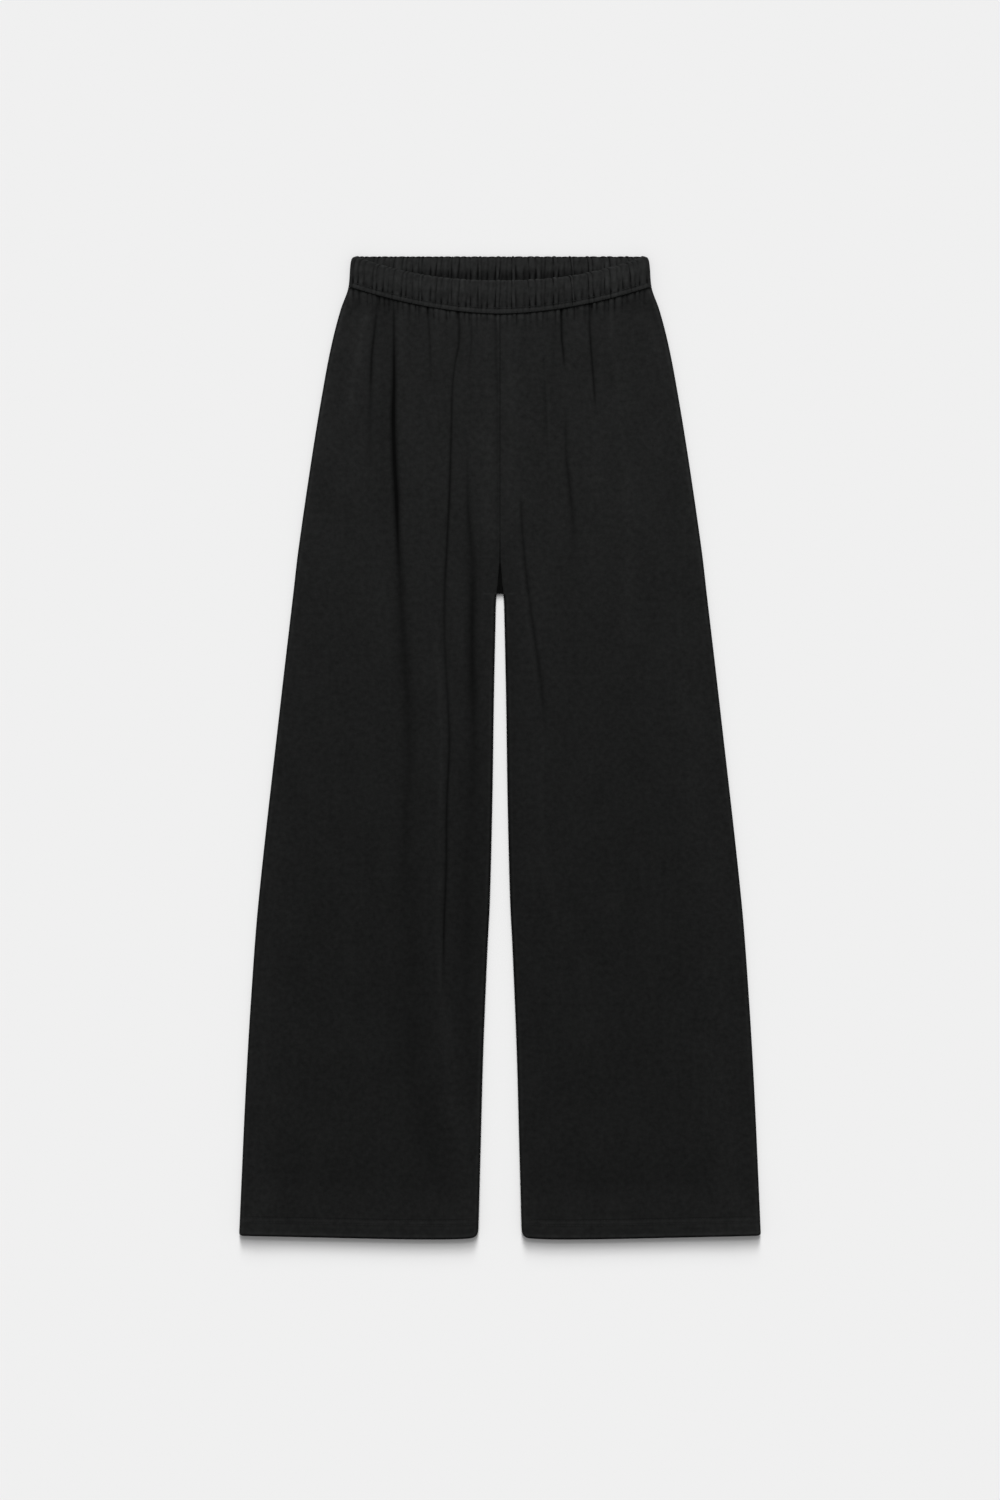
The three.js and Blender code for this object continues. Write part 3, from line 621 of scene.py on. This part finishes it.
fronts = {}
front_skins = {}
for leg in ("left", "right"):
    row, tuck = panel_rows(front_seam + seam_gap / 2)
    panel = Panel(leg, True, front_seam, row, tuck)
    x = columns_by_creases(leg, panel)
    depth = panel.depth(x)
    down = panel.row - row[0]
    number, ridge = gathering(leg_side[leg] * x / side_width)
    puff = gather_size[number] * (1 - smooth(down, 0, gather_reach[number]))
    sink = sunk(leg, x, depth)
    loft = np.clip(along(front_loft, depth) - sink, least_slack, most_slack)
    lift = hem_rise * smooth(panel.row, hem_depth - hem_rise_length, hem_depth - hem_allowance)
    seam_dip = seam_dip_depth * np.exp(-down / seam_dip_length)
    body = front_underside(depth) + cloth + loft + gather_height * ridge * puff + lift
    body = body - seam_dip - hem_grooves(hem_depth - panel.row)
    at_inseam = mix(body[:, :1] - centre_seam_dip, panel.inseam_top, panel.rolled)
    inseam_blend = mix(centre_blend, edge_blend, panel.rolled)
    z = mix(at_inseam, body, smooth(x - panel.lowest, 0, inseam_blend))
    z = mix(2 * panel.side_roll, z, smooth(panel.highest - x, 0, edge_blend))
    outside, inside = panel.skins(x, z)
    # Painted shade in the valleys of the gathers and in the creases, painted highlight on the gather
    # ridges, the ridges of the folds and below the waist seam.
    gather_shading = gather_contrast * puff * (mean_ridge - ridge) - gather_gleam * puff
    gather_shading = gather_shading - seam_gleam[0] * bell(down, *seam_gleam[1:])
    ends = np.zeros((len(row), len(roll_angles)))
    painted_shading = np.hstack([ends, shading_per_sink * sink + gather_shading, ends])
    painted_shading = painted_shading + panel.edge_shading(np.abs(outside[..., 0])) + between(hem_shading, hem_depth - panel.row)
    front = cloth_wall(f"front_{leg}_cloth", outside, inside, painted_shading, jersey)
    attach(front, "root")
    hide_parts(f"front_{leg}")
    fronts[leg] = front
    front_skins[leg] = outside

# --- Waistband -------------------------------------------------------------------------------------
# A fold of the same jersey round a flat elastic, in a front and a back half that meet at the sides.
# The elastic gathers it all along, and two rows of stitching hold it down beside the waist seam.
band_thickness = 3.6
band_height = 36
band_radius = (over_band + band_thickness) / 2
front_dip = 26.2
top_bow = 2.3
scallop_size = 0.9
scallop_depth = 5
valley_shade_contrast = 1.8
patchiness = 0.8
streak_contrast = 0.2
front_under_gather = 0.5
back_under_gather = 0.7
band_fold = np.radians([82, 62, 42, 22, 0])
band_half_fold = band_thickness / 2

# Down the band from its top fold: height of the gathers, relief under them, painted shade (minus for a
# painted highlight) and the contrast of the painted shade and highlight across the gathers.
front_band = [
    (0, 0.75, -0.2, 0.1, 0.6), (2, 0.65, 0, -0.32, 0.55), (9, 0.45, 0.1, -0.5, 0.5),
    (14.4, 0.6, 0.1, -0.42, 0.55), (18, 0.7, 0.05, -0.3, 0.65), (25.5, 1.0, -0.1, -0.23, 1.2),
    (28, 1.2, -0.3, -0.12, 2.2), (29.4, 1.2, -0.4, -0.03, 2.4), (30.6, 0.7, -0.2, -0.05, 1.1),
    (31.4, 0.25, 0.1, -0.3, 0.5), (32.4, 0.2, 0.3, -0.55, 0.4), (34.2, 0.2, 0.3, -0.65, 0.4),
    (35, 0.2, 0.1, -0.5, 0.5), (35.6, 0.2, 0, -0.2, 0.5), (36, 0.2, -0.3, 0.0, 0.5),
]
back_band = [
    (0, 0.6, -0.2, 0.85, 0.5), (1.2, 0.6, -0.1, 0.8, 0.6), (2.2, 0.6, 0, -0.5, 0.8),
    (4, 0.6, 0, -0.5, 0.9), (5.5, 0.6, 0, -0.35, 0.6), (14, 0.7, 0, -0.33, 0.8),
    (18, 0.8, -0.2, 0.05, 1.2), (21, 0.9, -0.5, 0.25, 1.4), (25, 0.9, -0.9, 0.35, 1.4),
    (30, 0.6, -0.9, 0.3, 0.6), (36, 0.2, -0.6, 0.3, 0.3),
]
band_downs = list(band_half_fold * (1 - np.sin(band_fold)))
band_downs += steps(band_half_fold, 24, 1.5)[1:] + steps(24, 36, 0.5)[1:]
band_tucks = list(band_half_fold * (1 - np.cos(band_fold))) + [0.0] * (len(band_downs) - len(band_fold))
band_columns = 9


def band_depth(is_front, share, part):
    clear = np.where(part >= 1, seam_gap / 2, 0)
    if not is_front:
        return part * side_seam - clear
    top = front_dip * (1 - np.abs(share) ** top_bow)
    seam = mix(front_seam, side_seam, np.abs(share) ** seam_bow)
    return mix(top, seam, part) - clear


def band_skins(is_front):
    down, tuck = np.array(band_downs)[:, None], np.array(band_tucks)[:, None]
    part = down / band_height
    share = np.interp(np.arange(gathers * band_columns + 1) / band_columns, gather, valleys)[None, :]
    half_width = along(side_edge, part * side_seam)
    flat = half_width - band_radius
    number, ridge = gathering(share)
    size = gather_size[number]
    lean = np.interp(share, valleys, gather_lean) * (1 - share ** 8)
    x = share * flat + lean * (part - 0.5)
    depth = band_depth(is_front, x / half_width, part)
    seat = front_underside(depth) if is_front else np.zeros_like(depth)
    places, *columns = zip(*(front_band if is_front else back_band))
    puff, relief, painted_shading, contrast = [np.interp(down, places, column) for column in columns]
    scallop = (ridge * size - 0.8) * scallop_size * np.exp(-down / scallop_depth)
    top = seat + band_thickness + relief + puff * size * ridge - tuck
    under_gather = front_under_gather if is_front else back_under_gather
    bottom = seat + tuck + under_gather * size * (1 - ridge)
    y = garment_top - depth + scallop
    # Painted shade in the valleys of the gathers and painted highlight on their ridges, in patches, with
    # fine streaks added.
    patchy = 1 + patchiness * np.sin(1.7 * number + down / 4)
    streaks = np.sin(x / 0.75 + 2.5 * np.sin(x / 9) + down / 6)
    painted_shading = painted_shading + streak_contrast * streaks * (0.6 + 0.4 * np.sin(down / 3 + x / 7))
    painted_shading = painted_shading + valley_shade_contrast * contrast * size ** 2 * patchy * (mean_ridge - ridge)
    skins = []
    for is_outside in (True, False):
        z = top if is_outside == is_front else bottom
        radius = band_radius - tuck if is_outside else band_radius - band_thickness + tuck
        rise = np.maximum(radius * np.sin(roll_angles), seam_gap / 2)
        ends = []
        for side in (-1, 1):
            roll_x = side * (flat + radius * np.cos(roll_angles))
            roll_z = band_radius + (rise if is_front else -rise)
            roll_y = garment_top - band_depth(is_front, roll_x / half_width, part)
            ends.append(np.stack(np.broadcast_arrays(roll_x, roll_y, roll_z), axis=-1))
        middle = np.stack(np.broadcast_arrays(x, y, z), axis=-1)
        skins.append(np.concatenate([ends[0], middle, ends[1][:, ::-1]], axis=1))
    plain = np.zeros((len(band_downs), len(roll_angles)))
    return skins[0], skins[1], np.hstack([plain, painted_shading, plain])


band_tops = {}
for half in ("back", "front"):
    outside, inside, painted_shading = band_skins(half == "front")
    band = cloth_wall(f"waistband_{half}_cloth", outside, inside, painted_shading, jersey)
    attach(band, "root")
    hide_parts(f"waistband_{half}")
    band_tops[half] = outside

# --- Stitching -------------------------------------------------------------------------------------
# Twin rows of soft black thread: round each hem, through its turned-up edge, and along the waistband,
# either side of the ridge beside its seam. A stitch is a short bar, pulled into the cloth at its ends.
stitch_length = 2.5
stitch_pitch = 3.1
thread_width = 0.7
thread_height = 0.4
stitch_sides = 6
band_stitch_lines = (29.4, 35.0)
thread_colour = (0.0105, 0.0108, 0.0107)
thread = cloth_material("black_thread", thread_colour, painted_light_at_waist, 0.3, 0.7, 0.2)

bpy.ops.mesh.primitive_uv_sphere_add(segments=stitch_sides, ring_count=4, radius=0.5)
bpy.ops.transform.resize(value=(thread_width, thread_height, stitch_length))
bpy.ops.object.transform_apply(location=False, rotation=False, scale=True)
stitch = bpy.context.object
stitch_points = np.array([vertex.co for vertex in stitch.data.vertices])
stitch_faces = [np.array(face.vertices) for face in stitch.data.polygons]
bpy.data.objects.remove(stitch)


def sewing(name, lines, upward):
    """One mesh of copies of the stitch along lines of points that lie on the cloth."""
    points = []
    for line in lines:
        line = np.maximum(line, (-np.inf, -np.inf, thread_height / 2))
        walked = np.append(0, np.cumsum(np.linalg.norm(np.diff(line, axis=0), axis=1)))
        starts = np.arange(stitch_pitch / 2, walked[-1] - stitch_length, stitch_pitch)
        pricks = np.stack([starts, starts + stitch_length])
        first, last = np.stack([np.interp(pricks, walked, axis) for axis in line.T], axis=-1)
        ahead = last - first
        ahead /= np.linalg.norm(ahead, axis=1, keepdims=True)
        beside = np.cross((0, 0, upward), ahead)
        beside /= np.linalg.norm(beside, axis=1, keepdims=True)
        above = np.cross(ahead, beside)
        frames = np.stack([beside, above, ahead], axis=1)
        points.append((first + last)[:, None, :] / 2 + stitch_points @ frames)
    points = np.concatenate(points) * mm
    firsts = len(stitch_points) * np.arange(len(points))
    faces = [tuple(face + start) for start in firsts for face in stitch_faces]
    sewn = bpy.data.meshes.new(name)
    sewn.from_pydata(points.reshape(-1, 3).tolist(), [], faces)
    sewn.materials.append(thread)
    piece = bpy.data.objects.new(name, sewn)
    bpy.context.scene.collection.objects.link(piece)
    sewn.shade_smooth()
    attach(piece, "root")
    return piece


def line_on(skin, places, place):
    """The line across a skin at a place between its rows, without the rolls at its ends."""
    row = np.clip(np.searchsorted(places, place), 1, len(places) - 1)
    share = (place - places[row - 1]) / (places[row] - places[row - 1])
    plain = slice(len(roll_angles), -len(roll_angles))
    return mix(skin[row - 1, plain], skin[row, plain], share)


for half, upward in (("front", 1), ("back", -1)):
    is_front = half == "front"
    panels, skins = (fronts, front_skins) if is_front else (backs, back_skins)
    places = panel_rows((front_seam if is_front else side_seam) + seam_gap / 2)[0]
    for leg, panel in panels.items():
        hem_lines = [line_on(skins[leg], places, hem_depth - line) for line in hem_stitch_lines]
        hem_sewing = sewing(f"hem_stitches_{half}_{leg}", hem_lines, upward)
    band_lines = [line_on(band_tops[half], np.array(band_downs), line) for line in band_stitch_lines]
    band_sewing = sewing(f"waistband_stitches_{half}", band_lines, upward)

# --- Floor, light and camera -------------------------------------------------------------------------
# A plain pale floor under soft light that comes from beyond the waist, and a camera straight above.
bpy.ops.mesh.primitive_plane_add(size=60, location=(0, 0, -0.0003))
floor = bpy.context.object
floor.name = "floor"
paper = bpy.data.materials.new("pale_floor")
paper.use_nodes = True
paper_sockets = paper.node_tree.nodes["Principled BSDF"].inputs
paper_sockets["Base Color"].default_value = (0.8, 0.8, 0.8, 1)
paper_sockets["Roughness"].default_value = 1
paper_sockets["Specular IOR Level"].default_value = 0
floor.data.materials.append(paper)

floor_light = 3.42
ambient_share = 0.32
world = bpy.data.worlds.new("soft_studio")
bpy.context.scene.world = world
world.use_nodes = True
sky = world.node_tree.nodes["Background"].inputs
sky["Strength"].default_value = ambient_share * floor_light / math.pi
sky["Color"].default_value = (1, 1, 1, 1)

window_heights = (52, 36, 26, 19.5)
window_width = 16
for elevation in window_heights:
    light = bpy.data.lights.new(f"window_{elevation}", "SUN")
    light.angle = math.radians(window_width)
    share = (1 - ambient_share) / len(window_heights)
    light.energy = share * floor_light / math.sin(math.radians(elevation))
    lamp = bpy.data.objects.new(light.name, light)
    lamp.rotation_euler = (math.radians(elevation - 90), 0, 0)
    bpy.context.scene.collection.objects.link(lamp)

camera_lens = 85
camera_height = 3.821
camera = bpy.data.objects.new("camera", bpy.data.cameras.new("camera"))
camera.data.lens = camera_lens
camera.location = (0, -0.0025, camera_height)
bpy.context.scene.collection.objects.link(camera)
bpy.context.scene.camera = camera
bpy.context.scene.view_settings.view_transform = "Standard"
